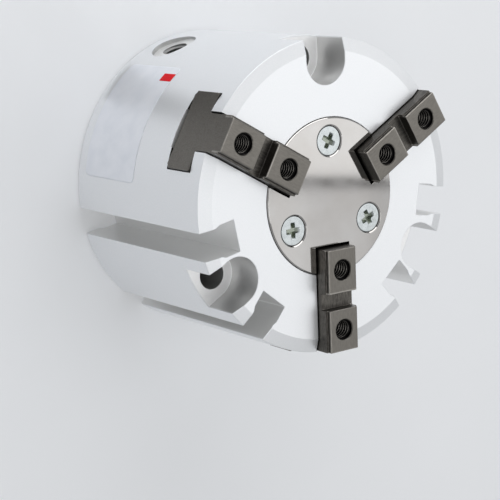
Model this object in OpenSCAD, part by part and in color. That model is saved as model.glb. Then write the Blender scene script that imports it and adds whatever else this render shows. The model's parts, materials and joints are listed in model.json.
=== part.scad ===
// Three jaw centric gripper: a round pneumatic body whose single piston drives three jaws.
// The piston carries a wedge cam. Inclined T tongues on the jaws ride in the cam's slots, so the
// jaws open together as the piston moves forward. Millimetres; Z = 0 is the rear mounting face
// and +Z points out of the front face, along the gripper's axis. The jaws are drawn closed.

/* [Body] */
// Outside diameter of the body
body_d = 62; // [61.6:0.2:66]
// Length of the body, rear face to front face
body_len = 43.8; // [43.4:0.2:50]
// Radial width of the shallow chamfer round the front face
front_chamfer_w = 2.7; // [1:0.1:3]
// Axial depth of the shallow chamfer round the front face
front_chamfer_h = 0.8; // [0.4:0.1:1.4]
// Size of the chamfer round the rear face
rear_chamfer = 0.5; // [0.2:0.1:0.8]
// Diameter of the cylinder bore
bore_d = 40; // [38:0.2:40.4]
// Thickness of the wall between the cylinder and the cam well
partition_t = 4.3; // [4:0.1:4.8]

/* [Mounting] */
// Pitch circle diameter of the three mounting holes
mount_pcd = 53; // [52.4:0.2:53.6]
// Diameter of the mounting through holes
mount_hole_d = 5.5; // [5:0.1:5.8]
// Width of the counterbore for the bolt heads, which is open to the outside
mount_head_d = 9.5; // [9:0.1:9.8]
// Depth of the counterbore below the front face
mount_head_depth = 8.6; // [6:0.2:11]
// Diameter of the locating bore in the rear face
locate_d = 42; // [41.6:0.1:42.4]
// Depth of the locating bore
locate_depth = 2; // [1.6:0.1:2.2]
// Diameter of the dowel hole in the rear face
dowel_d = 4; // [3:0.5:5]
// Depth of the dowel hole
dowel_depth = 4; // [3:0.5:6]

/* [Sensor slots] */
// Distance of a sensor slot's floor from the gripper's axis
slot_floor_r = 23.2; // [22.9:0.1:24]
// Width of a sensor slot behind its lips
slot_inner_w = 6.4; // [6:0.1:6.8]
// Width of a sensor slot's mouth
slot_mouth_w = 5.6; // [5:0.1:5.8]
// Radial thickness of a sensor slot's lips
slot_lip_t = 3.5; // [3:0.1:4]
// Radial length of the ramps behind a sensor slot's lips
slot_ramp = 1; // [0.5:0.1:1.2]
// Angle between a mounting hole and the sensor slot on its clockwise side
slot_before_a = 19; // [18.6:0.1:20.6]
// Angle between a mounting hole and the sensor slot on its other side
slot_after_a = 21; // [20:0.1:22]

/* [Air ports] */
// Diameter of the port threads
port_d = 5; // [4:0.5:5]
// Depth of the port threads below the spot face
port_depth = 5; // [4:0.2:5.4]
// Diameter of the spot face round a port
port_face_d = 9.4; // [8:0.2:10]
// Depth of the spot face below the outside of the body
port_face_depth = 0.9; // [0.6:0.1:1.2]
// Diameter of the passage from a port into the cylinder
passage_d = 1.8; // [1.2:0.1:1.9]
// Distance of the opening port from the rear end of the cylinder
opening_port_in = 1.55; // [1.3:0.05:1.8]
// Distance of the closing port from the front end of the cylinder
closing_port_in = 1.35; // [1.2:0.05:1.6]
// Angle between the top mounting hole and each port
port_offset_a = 20.4; // [19:0.2:24]

/* [Jaws] */
// Stroke of each jaw
jaw_stroke = 4; // [3:0.1:4.2]
// Distance of a closed jaw's outer end from the axis
jaw_outer_r = 30.5; // [30:0.1:31]
// Distance of a closed jaw's pads from the axis
jaw_inner_r = 9.95; // [9.8:0.05:10.4]
// Width of a jaw's T base
base_w = 15.9; // [15:0.1:16]
// Thickness of a jaw's T base
base_t = 7.4; // [7:0.1:7.8]
// Chamfer on the rear edges of the T base
base_chamfer = 0.8; // [0.3:0.1:1.2]
// Width of a jaw's neck
neck_w = 7.8; // [7.4:0.1:8]
// Width of a jaw's pads
pad_w = 7; // [6.4:0.1:7.2]
// Height of the pads above the body's front face
pad_rise = 3.2; // [3:0.1:4]
// Height of the ledge beside the pads above the body's front face
ledge_rise = 2.35; // [2:0.05:2.5]
// Distance of the key groove's inner side from the axis
key_inner_r = 18.7; // [18.3:0.1:19.2]
// Width of the key groove between the pads
key_w = 3.3; // [2.6:0.1:3.6]
// Depth of the key groove
key_depth = 2.1; // [1.6:0.1:2.3]
// Distance of the inner threaded hole from the axis
inner_hole_r = 14.2; // [13.9:0.1:14.6]
// Spacing of a jaw's two threaded holes
hole_pitch = 12; // [11.6:0.1:12.4]
// Diameter of the jaw threads
jaw_thread_d = 4; // [3:0.5:4.5]
// Depth of the countersink over each jaw thread
jaw_sink = 0.2; // [0.1:0.05:0.4]
// Depth of the jaw threads
jaw_thread_depth = 8; // [6:0.2:8.4]
// Thickness of the body's lip over the T base
lip_t = 4.2; // [4:0.1:4.5]
// Depth of the relief under the middle of the T base
relief_t = 0.4; // [0.2:0.1:0.6]

/* [Cam] */
// Stroke of the piston and the cam
piston_stroke = 5; // [4.4:0.1:5]
// Height of the cam
cam_h = 9.5; // [9:0.1:9.6]
// Width of each cam arm
arm_w = 12.6; // [12.4:0.1:13]
// Distance of the closed jaw's inclined face from the axis, at the back of the jaw
wedge_r = 13.5; // [13:0.1:14]
// Width of the tongue's neck
tongue_neck_w = 4; // [3.4:0.1:4.6]
// Width of the tongue's head
tongue_head_w = 7; // [6:0.1:7.6]
// Thickness of the tongue's head
tongue_head_t = 1.8; // [1.4:0.1:2]
// Thickness of the cam's lips over the tongue's head
cam_lip_t = 1.6; // [1.4:0.1:2]
// Diameter of the cam's stem
stem_d = 12; // [11:0.1:12.2]

/* [Piston] */
// Thickness of the piston left behind the stem
web_t = 1.5; // [1.2:0.1:2]
// Length of the piston's rear hub, which carries the magnet
rear_hub_t = 2.4; // [2.3:0.1:2.6]
// Diameter of the piston's rear hub
rear_hub_d = 31; // [28:0.5:33]
// Diameter of the magnet ring
magnet_d = 36.8; // [35:0.2:37]
// Length of the piston's front step
front_step_t = 2.1; // [2:0.1:2.4]
// Diameter of the piston's front step
front_step_d = 35; // [30:0.5:36]
// Width of the piston seal's groove
seal_w = 2.6; // [2.2:0.1:2.8]
// Depth of the piston seal's groove
seal_depth = 2.6; // [2:0.1:3]
// Width of the wear ring's groove
wear_w = 1.8; // [1.4:0.1:2]
// Depth of the wear ring's groove
wear_depth = 1.2; // [0.8:0.1:1.6]
// Thickness of the piston between the wear ring and its edge
land_t = 0.55; // [0.4:0.05:0.7]

/* [Seals and rear cap] */
// Cord diameter of the cap seal and the stem seal
cord_d = 1.5; // [1.2:0.1:1.6]
// Width of the rod seal
rod_seal_w = 2.2; // [1.8:0.1:2.4]
// Radial thickness of the rod seal
rod_seal_t = 2.1; // [1.6:0.1:2.4]
// Thickness of the rear cap
cap_t = 3; // [2.8:0.1:3.1]
// Diameter of the rear cap's seat
cap_seat_d = 41.2; // [40.8:0.1:41.5]
// Diameter of the shallow dish in the cap's rear face
cap_dish_d = 24; // [16:1:30]
// Thickness of the retaining ring
ring_t = 1.2; // [1:0.1:1.4]
// Diameter of the retaining ring's groove
ring_groove_d = 43.6; // [43:0.1:44]
// Radial width of the retaining ring
ring_band = 2.3; // [2:0.1:2.8]

/* [End plate] */
// Diameter of the end plate
plate_d = 31; // [31:0.1:31.6]
// Thickness of the end plate
plate_t = 2.2; // [2:0.1:2.3]
// Height of the end plate above the front face
plate_rise = 0.3; // [0.1:0.1:0.6]
// Clearance between the plate's notches and the closed jaws' inner ends
notch_gap = 0.45; // [0.3:0.05:0.7]
// Clearance between the plate's notches and the jaws' sides
notch_side = 0.35; // [0.25:0.05:0.4]
// Distance of the plate's screws from the plate's edge
screw_inset = 4.55; // [4.45:0.05:4.6]
// Diameter of a screw's head
screw_head_d = 5.8; // [5.4:0.1:6]
// Depth of a screw's head below the plate's face
screw_sink = 0.3; // [0.1:0.05:0.4]
// Length of a screw
screw_len = 7.5; // [6:0.25:8]

/* [Label] */
// Thickness of the label
label_t = 0.12; // [0.08:0.02:0.2]
// Width of the label along the gripper's axis
label_w = 17.4; // [12:0.2:18]
// Arc that the label covers, in degrees
label_a = 47.6; // [30:0.2:48]
// Distance of the label from the rear face
label_z = 3.3; // [2:0.1:4]

/* [Clearances] */
// Running clearance round the sliding parts
slide_gap = 0.05; // [0.03:0.01:0.08]
// Clearance between the tongues and the cam
cam_gap = 0.08; // [0.05:0.01:0.1]
// Clearance round fixed parts that are fitted by hand
fit_gap = 0.05; // [0.02:0.01:0.1]
// Clearance at each end of the piston's and the cam's travel
end_gap = 0.15; // [0.1:0.05:0.2]

/* [Hidden] */

$fn = 96;
over = 1;                                  // how far a cut runs past the surface it opens
jaw_angles = [-90, 30, 150];               // jaw_1, jaw_2, jaw_3
hole_angles = [90, 210, 330];              // mounting holes and plate screws, between the jaws
slot_angles = [for (a = [hole_angles[1], hole_angles[2]], s = [-slot_before_a, slot_after_a]) a + s];
port_angles = [for (s = [1, -1]) hole_angles[0] + s * port_offset_a];    // opening port, closing port
dowel_angle = -90;
ring_gap_angle = 90;                       // middle of the retaining ring's opening
label_start_a = 125;

body_r = body_d / 2;
bore_r = bore_d / 2;
stem_r = stem_d / 2;

// Places along the axis, from the front face backwards
plate_z = body_len + plate_rise - plate_t;          // underside of the end plate
base_top = body_len - lip_t - slide_gap;            // front of the T base
base_z = base_top - base_t;                         // back of the T base
slot_z = base_z - slide_gap;                        // floor of the T slot
cam_top = plate_z - 2 * end_gap - piston_stroke;    // front of the cam, jaws closed
cam_z = cam_top - cam_h;                            // back of the cam, jaws closed
well_z = cam_z - end_gap;                           // floor of the cam well
chamber_top = well_z - partition_t;                 // front end of the cylinder

// Places along the axis, from the rear face forwards
ring_z = locate_depth + fit_gap / 2;
cap_z = locate_depth + ring_t + fit_gap;
chamber_z = cap_z + cap_t;                          // rear end of the cylinder
piston_z = chamber_z + end_gap;                     // back of the piston, jaws closed
piston_len = chamber_top - end_gap - piston_stroke - piston_z;
port_z = [chamber_z + opening_port_in, chamber_top - closing_port_in];

// Piston and bolt
bolt_d = 5;
bolt_head_d = 8.5;
bolt_head_h = 5;
bolt_socket = 4;
bolt_socket_depth = 2.6;
bolt_reach = 11.5;                                  // thread in the stem
bolt_seat_z = piston_z + bolt_head_h + 0.3;         // under the bolt's head
stem_z = bolt_seat_z + web_t;                       // rear end of the stem
stem_seal_z = stem_z + 0.7;
land_z = piston_z + rear_hub_t;                     // back of the piston's full diameter
land_top = piston_z + piston_len - front_step_t;
wear_z = land_z + land_t;
seal_z = land_top - land_t - seal_w;
seat_gap = 0.02;                                    // between a ring and its groove's floor

// Wedge: the cam moves piston_stroke forward while a jaw moves jaw_stroke outward
wedge_a = atan(jaw_stroke / piston_stroke);
wedge_slope = jaw_stroke / piston_stroke;
function wedge_face(z) = wedge_r - wedge_slope * (z - base_z);
face_gap = 0.3;                                     // between the cam's and the jaw's faces
arm_tip = 0.6;                                      // how far the arms' sharp tips are cut back
arm_reach = wedge_face(cam_z) - arm_tip;
well_reach = arm_reach + 0.4;
lip_cut_r = wedge_face(base_top - piston_stroke) + 0.5;

screw_r = plate_d / 2 - screw_inset;                // pitch radius of the plate's screws
notch_r = jaw_inner_r - notch_gap;
notch_w = neck_w + 2 * notch_side;
neck_slot_w = neck_w + 0.2;
ring_clear = 0.1;                                   // round the end plate
screw_core_d = 2.5;
screw_hole_d = screw_core_d + 0.1;

// Draws its children once for every angle in a list, turned about the gripper's axis.
module around(angles) {
    for (a = angles) rotate([0, 0, a]) children();
}

// A box along +X from x0 to x1, centred on the X axis, from z0 to z1.
module rail(x0, x1, w, z0, z1) {
    translate([x0, -w / 2, z0]) cube([x1 - x0, w, z1 - z0]);
}

// A ring of rectangular section.
module ring(r0, r1, z0, z1) {
    translate([0, 0, z0]) difference() {
        cylinder(r = r1, h = z1 - z0);
        translate([0, 0, -over]) cylinder(r = r0, h = z1 - z0 + 2 * over);
    }
}

// A plain disc or hole from z0 to z1.
module disc(r, z0, z1) {
    translate([0, 0, z0]) cylinder(r = r, h = z1 - z0);
}

// Puts its children on the inclined face between cam and jaw: local Z runs along the slope,
// local X points into the jaw, and X = 0 is the cam's face.
module on_wedge() {
    translate([wedge_r, 0, base_z]) rotate([0, -wedge_a, 0]) children();
}

// ---------------------------------------------------------------- body

module body_blank() {
    rotate_extrude() polygon([
        [0, 0], [body_r - rear_chamfer, 0], [body_r, rear_chamfer],
        [body_r, body_len - front_chamfer_h], [body_r - front_chamfer_w, body_len], [0, body_len]]);
}

// Locating bore, retaining ring groove, cap seat, cylinder and the stem's bore with its seal groove.
module cylinder_bores() {
    disc(locate_d / 2, -over, locate_depth);
    disc(ring_groove_d / 2, locate_depth, cap_z);
    disc(cap_seat_d / 2, locate_depth, chamber_z);
    disc(bore_r, locate_depth, chamber_top);
    disc(stem_r + slide_gap, chamber_top - over, well_z + over);
    disc(stem_r + rod_seal_t, rod_seal_z() - fit_gap, rod_seal_z() + rod_seal_w + fit_gap);
}
function rod_seal_z() = chamber_top + (partition_t - rod_seal_w) / 2;

// Three channels for the cam's arms, below and between the jaws' bases.
module cam_well() {
    around(jaw_angles) {
        rail(0, well_reach, arm_w + 0.4, well_z, slot_z + over);
        rail(0, lip_cut_r, arm_w + 0.4, slot_z, plate_z + over);
    }
}

// T slots that guide the jaws, open at the outside of the body.
module jaw_slots() {
    around(jaw_angles) {
        rail(0, body_r + over, base_w + 2 * slide_gap, slot_z, base_top + slide_gap);
        rail(0, body_r + over, neck_slot_w, slot_z - relief_t, body_len + over);
    }
}

// Mounting holes with counterbores that break out through the side.
module mounting_cuts() {
    seat_z = body_len - mount_head_depth;
    around(hole_angles) {
        translate([mount_pcd / 2, 0, -over]) cylinder(d = mount_hole_d, h = body_len);
        translate([mount_pcd / 2, 0, seat_z]) cylinder(d = mount_head_d, h = mount_head_depth + over);
        rail(mount_pcd / 2, body_r + over, mount_head_d, seat_z, body_len + over);
    }
}

// Lipped slots for position sensors, running the body's whole length.
module sensor_cuts() {
    lip_r = body_r - slot_lip_t;
    ramp_r = lip_r - slot_ramp;
    a = slot_inner_w / 2;
    b = slot_mouth_w / 2;
    around(slot_angles) translate([0, 0, -over]) linear_extrude(height = body_len + 2 * over)
        polygon([[slot_floor_r, -a], [ramp_r, -a], [lip_r, -b], [body_r + over, -b],
                 [body_r + over, b], [lip_r, b], [ramp_r, a], [slot_floor_r, a]]);
}

// Air ports: spot face, thread and a passage into the cylinder.
module port_cuts() {
    face_r = body_r - port_face_depth;
    for (i = [0, 1]) rotate([0, 0, port_angles[i]]) translate([0, 0, port_z[i]]) rotate([0, 90, 0]) {
        translate([0, 0, face_r]) cylinder(d = port_face_d, h = port_face_depth + over);
        translate([0, 0, face_r - port_depth]) cylinder(d = port_d, h = port_depth + over);
        translate([0, 0, bore_r - over]) cylinder(d = passage_d, h = face_r - port_depth - bore_r + 2 * over);
    }
}

module body() {
    color("gainsboro") difference() {
        body_blank();
        cylinder_bores();
        cam_well();
        jaw_slots();
        mounting_cuts();
        sensor_cuts();
        port_cuts();
        disc(plate_d / 2 + ring_clear, plate_z, body_len + over);
        around(hole_angles) translate([screw_r, 0, plate_z - screw_len])
            cylinder(d = screw_hole_d, h = screw_len + over);
        rotate([0, 0, dowel_angle]) translate([mount_pcd / 2, 0, -over])
            cylinder(d = dowel_d, h = dowel_depth + over);
    }
}

// ---------------------------------------------------------------- end plate and its screws

sink_top_d = screw_head_d + 2 * screw_sink;         // countersink at the plate's face
plate_top = plate_z + plate_t;

module end_plate() {
    edge = 0.2;
    color("silver") difference() {
        translate([0, 0, plate_z]) rotate_extrude() polygon([
            [0, 0], [plate_d / 2, 0], [plate_d / 2, plate_t - edge], [plate_d / 2 - edge, plate_t],
            [0, plate_t]]);
        around(jaw_angles) rail(notch_r, body_r, notch_w, plate_z - over, plate_top + over);
        around(hole_angles) translate([screw_r, 0, 0]) {
            disc(screw_hole_d / 2 + 0.3, plate_z - over, plate_top);
            translate([0, 0, plate_top - sink_top_d / 2])
                cylinder(r1 = 0, r2 = sink_top_d / 2 + over, h = sink_top_d / 2 + over);
        }
    }
}

// Countersunk screw with a tapered cross recess.
module plate_screw(angle) {
    head_top = plate_top - screw_sink;
    cone_h = (screw_head_d - screw_core_d) / 2;
    cross_w = 0.8;
    cross_len = 3.3;
    cross_depth = 1.4;
    cross_tip = 1.2;
    past = 0.01;
    color("whitesmoke") rotate([0, 0, angle]) translate([screw_r, 0, head_top + fit_gap]) difference() {
        union() {
            translate([0, 0, -cone_h])
                cylinder(d1 = screw_core_d, d2 = screw_head_d, h = cone_h);
            translate([0, 0, -screw_len + 0.4]) cylinder(d = screw_core_d, h = screw_len - cone_h);
        }
        intersection() {
            translate([0, 0, -cross_depth]) cylinder(d1 = cross_tip, d2 = cross_len, h = cross_depth + past);
            for (a = [45, 135]) rotate([0, 0, a])
                translate([-cross_len, -cross_w / 2, -cross_depth]) cube([2 * cross_len, cross_w, 2 * cross_depth]);
        }
    }
}

// ---------------------------------------------------------------- jaws

// T section of a jaw, seen along its slide: the base, the neck, the ledges and the pad.
module jaw_section() {
    b = base_w / 2;
    n = neck_w / 2;
    p = pad_w / 2;
    c = base_chamfer;
    e = 0.2;
    ledge = body_len + ledge_rise;
    top = body_len + pad_rise;
    right = [[b - c, base_z], [b, base_z + c], [b, base_top - e], [b - e, base_top], [n, base_top],
             [n, ledge], [p, ledge], [p, top - e], [p - e, top]];
    left = [for (i = [len(right) - 1:-1:0]) [-right[i][0], right[i][1]]];
    polygon(concat(right, left));
}

// Slanted T tongue that hooks into the cam.
module tongue() {
    reach = 40;
    neck_in = cam_lip_t + cam_gap;
    intersection() {
        on_wedge() {
            translate([-neck_in - tongue_head_t / 2, -tongue_neck_w / 2, -reach / 2])
                cube([neck_in + tongue_head_t / 2 + face_gap + over, tongue_neck_w, reach]);
            translate([-neck_in - tongue_head_t, -tongue_head_w / 2, -reach / 2])
                cube([tongue_head_t, tongue_head_w, reach]);
        }
        rail(0, body_r, base_w, base_z, base_top);
    }
}

module jaw(angle) {
    top = body_len + pad_rise;
    clear = 60;
    color("dimgray") rotate([0, 0, angle]) difference() {
        union() {
            difference() {
                rotate([90, 0, 90]) linear_extrude(height = jaw_outer_r) jaw_section();
                rail(-over, jaw_inner_r, base_w, base_top, top + over);
                on_wedge() translate([face_gap - clear, -clear / 2, -clear / 2]) cube([clear, clear, clear]);
            }
            tongue();
        }
        rail(key_inner_r, key_inner_r + key_w, base_w, top - key_depth, top + over);
        for (x = [inner_hole_r, inner_hole_r + hole_pitch]) translate([x, 0, 0]) {
            disc(jaw_thread_d / 2, top - jaw_thread_depth, top + over);
            translate([0, 0, top - jaw_sink])
                cylinder(d1 = jaw_thread_d, d2 = jaw_thread_d + 2 * (jaw_sink + over), h = jaw_sink + over);
        }
    }
}

// ---------------------------------------------------------------- cam and its bolt

module wedge_cam() {
    slot = cam_gap;
    neck_in = cam_lip_t;
    clear = 60;
    color("slategray") difference() {
        union() {
            translate([0, 0, cam_z]) linear_extrude(cam_top - cam_z)
                around(jaw_angles) translate([-over, -arm_w / 2]) square([arm_reach + over, arm_w]);
            disc(stem_r, stem_z, cam_z + over);
        }
        around(jaw_angles) on_wedge() {
            translate([0, -clear / 2, -clear / 2]) cube([clear, clear, clear]);
            translate([-neck_in - over, -tongue_neck_w / 2 - slot, -clear / 2])
                cube([neck_in + 2 * over, tongue_neck_w + 2 * slot, clear]);
            translate([-neck_in - tongue_head_t - 2 * slot, -tongue_head_w / 2 - slot, -clear / 2])
                cube([tongue_head_t + 2 * slot, tongue_head_w + 2 * slot, clear]);
        }
        disc(bolt_d / 2 + seat_gap, stem_z - over, stem_z + bolt_reach + over);
    }
}

module cam_bolt() {
    color("black") difference() {
        union() {
            disc(bolt_head_d / 2, bolt_seat_z - bolt_head_h, bolt_seat_z);
            disc(bolt_d / 2, bolt_seat_z - over, stem_z + bolt_reach);
        }
        translate([0, 0, bolt_seat_z - bolt_head_h - over])
            cylinder(d = bolt_socket / cos(30), h = bolt_socket_depth + over, $fn = 6);
    }
}

// ---------------------------------------------------------------- piston and what it carries

piston_r = bore_r - 0.15;

module piston() {
    top = piston_z + piston_len;
    color("lightsteelblue") difference() {
        union() {
            disc(rear_hub_d / 2, piston_z, land_z + over);
            disc(piston_r, land_z, land_top);
            disc(front_step_d / 2, land_top - over, top);
        }
        ring(piston_r - wear_depth, bore_r + over, wear_z, wear_z + wear_w);
        ring(piston_r - seal_depth, bore_r + over, seal_z, seal_z + seal_w);
        disc(bolt_head_d / 2 + 0.25, piston_z - over, bolt_seat_z);
        disc(bolt_d / 2 + 0.25, piston_z, stem_z + over);
        disc(stem_r + seat_gap, stem_z, top + over);
        disc(stem_r + cord_d * 0.8, stem_seal_z, stem_seal_z + cord_d);
    }
}

// Lip seal of U section, its lips facing the rear chamber.
module piston_seal() {
    r0 = piston_r - seal_depth + seat_gap;
    r1 = bore_r - slide_gap;
    z0 = seal_z + seat_gap;
    z1 = seal_z + seal_w - seat_gap;
    mid = (r0 + r1) / 2;
    color("darkslategray") rotate_extrude() polygon([
        [r0, z0], [mid - 0.5, z0], [mid, z0 + 1.1], [mid + 0.5, z0], [r1, z0], [r1 - 0.15, z1], [r0, z1]]);
}

module wear_ring() {
    color("saddlebrown")
        ring(piston_r - wear_depth + seat_gap, bore_r - slide_gap, wear_z + seat_gap, wear_z + wear_w - seat_gap);
}

module magnet_ring() {
    color("gray") ring(rear_hub_d / 2 + seat_gap, magnet_d / 2, piston_z + 0.1, land_z - seat_gap);
}

module stem_seal() {
    color("black") rotate_extrude()
        translate([stem_r + cord_d * 0.4, stem_seal_z + cord_d / 2]) circle(d = cord_d * 0.8 - 2 * seat_gap, $fn = 32);
}

// ---------------------------------------------------------------- seals, cap and retaining ring

module rod_seal() {
    r0 = stem_r + slide_gap;
    r1 = stem_r + rod_seal_t - seat_gap;
    z0 = rod_seal_z();
    z1 = z0 + rod_seal_w;
    mid = (r0 + r1) / 2;
    color("darkslategray") rotate_extrude() polygon([
        [r0, z0], [mid - 0.4, z0], [mid, z0 + 0.9], [mid + 0.4, z0], [r1, z0], [r1, z1], [r0 + 0.15, z1]]);
}

cap_r = cap_seat_d / 2 - fit_gap;
cap_seal_z = cap_z + (cap_t - cord_d) / 2 - 0.2;
cap_seal_depth = cord_d * 0.8;

module rear_cap() {
    edge = 0.3;
    dish = 0.5;
    color("lightgray") difference() {
        translate([0, 0, cap_z]) rotate_extrude() polygon([
            [0, dish], [cap_dish_d / 2, dish], [cap_dish_d / 2 + dish, 0], [cap_r - edge, 0], [cap_r, edge],
            [cap_r, cap_t - fit_gap], [0, cap_t - fit_gap]]);
        ring(cap_r - cap_seal_depth, cap_r + over, cap_seal_z, cap_seal_z + cord_d);
    }
}

module cap_seal() {
    seal_d = cap_seal_depth + fit_gap - 2 * seat_gap;
    color("black") rotate_extrude()
        translate([cap_r - cap_seal_depth + seat_gap + seal_d / 2, cap_seal_z + cord_d / 2])
            circle(d = seal_d, $fn = 32);
}

// Internal retaining ring, open at one side, with an eye at each end for the pliers.
module retaining_ring() {
    r1 = ring_groove_d / 2 - fit_gap;
    r0 = r1 - ring_band;
    eye_r = 2.3;
    eye_hole_r = 1;
    gap_a = 16;
    color("dimgray") difference() {
        union() {
            ring(r0, r1, ring_z, ring_z + ring_t);
            for (a = [-1, 1]) rotate([0, 0, ring_gap_angle + a * (gap_a / 2 + 5)]) translate([r0 - 0.4, 0, ring_z])
                cylinder(r = eye_r, h = ring_t);
        }
        for (a = [-1, 1]) rotate([0, 0, ring_gap_angle + a * (gap_a / 2 + 5)]) translate([r0 - 0.7, 0, ring_z - over])
            cylinder(r = eye_hole_r, h = ring_t + 2 * over);
        rotate([0, 0, ring_gap_angle - gap_a / 2]) translate([0, 0, ring_z - over])
            rotate_extrude(angle = gap_a) square([r1 + over, ring_t + 2 * over]);
    }
}

// ---------------------------------------------------------------- label

module label() {
    color("lightblue") rotate([0, 0, label_start_a]) translate([0, 0, label_z])
        rotate_extrude(angle = label_a) translate([body_r, 0]) square([label_t, label_w]);
}

body();
end_plate();
plate_screw(hole_angles[0]);  // plate_screw_1
plate_screw(hole_angles[1]);  // plate_screw_2
plate_screw(hole_angles[2]);  // plate_screw_3
jaw(jaw_angles[0]);  // jaw_1
jaw(jaw_angles[1]);  // jaw_2
jaw(jaw_angles[2]);  // jaw_3
wedge_cam();
cam_bolt();
piston();
piston_seal();
wear_ring();
magnet_ring();
stem_seal();
rod_seal();
rear_cap();
cap_seal();
retaining_ring();
label();
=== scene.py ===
"""Three jaw centric gripper: finishes, fine forms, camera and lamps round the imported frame.

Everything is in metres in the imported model's frame. Z = 0 is the rear mounting face, +Z runs along
the gripper's axis and out of the front face, and jaw 1 slides along -Y.
"""
import json
import math

import bmesh
import bpy
import numpy as np
from bpy.props import FloatProperty, FloatVectorProperty, IntProperty, PointerProperty
from mathutils import Matrix, Vector


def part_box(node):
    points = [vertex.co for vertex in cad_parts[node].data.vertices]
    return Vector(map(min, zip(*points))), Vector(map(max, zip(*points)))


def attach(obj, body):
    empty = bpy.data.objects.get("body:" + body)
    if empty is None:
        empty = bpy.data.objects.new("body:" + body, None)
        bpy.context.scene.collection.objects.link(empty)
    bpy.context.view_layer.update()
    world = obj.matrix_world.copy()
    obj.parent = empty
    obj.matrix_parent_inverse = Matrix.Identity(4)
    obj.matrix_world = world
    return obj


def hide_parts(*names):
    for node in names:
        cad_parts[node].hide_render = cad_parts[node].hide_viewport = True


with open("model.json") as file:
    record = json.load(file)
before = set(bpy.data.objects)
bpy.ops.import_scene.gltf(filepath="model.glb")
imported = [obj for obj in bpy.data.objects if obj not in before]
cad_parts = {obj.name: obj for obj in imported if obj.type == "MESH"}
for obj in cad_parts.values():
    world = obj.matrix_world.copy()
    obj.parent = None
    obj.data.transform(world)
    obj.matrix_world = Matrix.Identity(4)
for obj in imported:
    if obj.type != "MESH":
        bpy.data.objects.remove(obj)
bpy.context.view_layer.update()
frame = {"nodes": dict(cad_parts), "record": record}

bl_info = {
    "name": "Three jaw gripper",
    "version": (1, 0, 0),
    "blender": (4, 5, 0),
    "location": "View3D > Sidebar > Gripper",
    "description": "Dresses the packed gripper frame: finishes, threads, screws, label and stage",
    "category": "Object",
}

MM = 0.001
TURN = 2.0 * math.pi


# -------------------------------- sizes that the finishes follow


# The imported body's radius and the height of its front face, in metres.
BODY_RADIUS = 0.5 * (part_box("body")[1][0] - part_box("body")[0][0])
FRONT_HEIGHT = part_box("body")[1][2]
# In millimetres, down to the threads. Front chamfer of the body: its width and its fall.
CHAMFER = (2.7, 0.8)
# Slideway: half widths of its base and neck, and the heights of its floor and of its neck's beginning,
# each with the broken edge.
SLIDEWAY = (8.13, 4.13, 31.98, 39.72)
# Mounting holes: the distance of their axes from the gripper's, the half widths of the counterbore
# and of the hole, each with the broken edge, and the height of the counterbore's floor.
BORES = (26.5, 5.1, 2.8, 35.2)
# Air ports: half widths of the thread's bore and of the spot face.
PORTS = (2.55, 4.7)
# Pads of a jaw: where they begin and end, their half width and height, the notch between them, and how
# far their holes lie from the gripper's axis.
PAD_ENDS = (9.95, 30.48)
PAD_HALF = 3.5
PAD_HEIGHT = 47.0
PAD_NOTCH = (18.55, 21.94)
PAD_HOLES = (14.2, 26.2)
# Threads of the jaws and of the ports: how deep they reach, and how far their ridges stand in.
JAW_THREAD = (7.5, 0.34)
PORT_THREAD = (4.8, 0.4)
# How far the recess of each screw is turned, in degrees.
SCREW_TURNS = (-30.0, 2.0, 25.0)
# Noise seldom leaves this range, so patterns are stretched between its ends.
NOISE_ENDS = (0.3, 0.7)
# How far a wave texture of scale 1 goes before it repeats.
WAVE_PERIOD = 0.314


# -------------------------------- camera and lamps


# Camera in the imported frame: its place in millimetres, and its right, up and backward axes.
CAMERA_PLACE = (-196.84, 52.75, 284.41)
CAMERA_AXES = ((0.80027, -0.03948, 0.59834), (0.1497, 0.97939, -0.1356), (-0.58065, 0.19809, 0.78968))
# Soft lamps: name, azimuth and elevation in degrees, distance, width and height in metres, radiance.
LAMPS = (
    ("overhead_softbox", 195.0, 67.0, 0.9, 0.5, 0.5, 1.75),
    ("top_softbox", 82.0, 24.0, 0.45, 0.5, 0.3, 1.95),
    ("left_softbox", 188.0, 22.0, 0.6, 0.4, 0.4, 0.25),
)
# The boxes that the polished plate mirrors stand in this direction and at this distance in metres from
# the point of the plate, in millimetres, that shows the gap between the upper and the lower ones.
FRONT = Vector((0.625, -0.1585, 0.764))
FRONT_DISTANCE = 0.9
GAP_SHOWS = (0.0, 2.8, 43.8)
# Their names, left and right end, foot and head in metres from the middle of that gap, and radiance.
FRONT_BOXES = (
    ("upper_softbox", -0.56, 0.45, 0.004, 0.52, 1.0),
    ("lower_left_softbox", -0.56, -0.02, -0.5, -0.004, 0.7),
    ("lower_middle_softbox", -0.02, 0.03, -0.5, -0.004, 0.56),
    ("lower_right_softbox", 0.03, 0.45, -0.5, -0.004, 0.42),
)
# Grey cards, each seen only as a reflection. One fills the gap, and the plate mirrors it as a band: its
# width and height in metres. One lies on the floor, and the side mirrors it as a soft streak: its
# azimuth in degrees, and its width and the distances of its ends from the axis in metres.
GAP_CARD = (1.0, 0.008)
STREAK_CARD = (132.6, 0.01, 0.032, 0.08)
CARD_TONE = "#8a8a8a"
# Half width of the floor and the heights of the floor and of what lies on it, in metres.
FLOOR_HALF = 3.0
FLOOR_LEVEL = -0.0001
CARD_LEVEL = 0.0003
# Strength at which the world lights, and what the world and the floor add to theirs for the camera's
# rays, and for reflections.
WORLD_LIGHT = 0.35
WORLD_GLOW = (0.15, 0.15)
FLOOR_GLOW = (0.15, 0.18)


# -------------------------------- colours and shader nodes


def linear(hex_colour):
    """Linear RGBA of an sRGB hex colour."""
    parts = [int(hex_colour[i:i + 2], 16) / 255.0 for i in (1, 3, 5)]
    return tuple([c / 12.92 if c <= 0.04045 else ((c + 0.055) / 1.055) ** 2.4 for c in parts] + [1.0])


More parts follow.
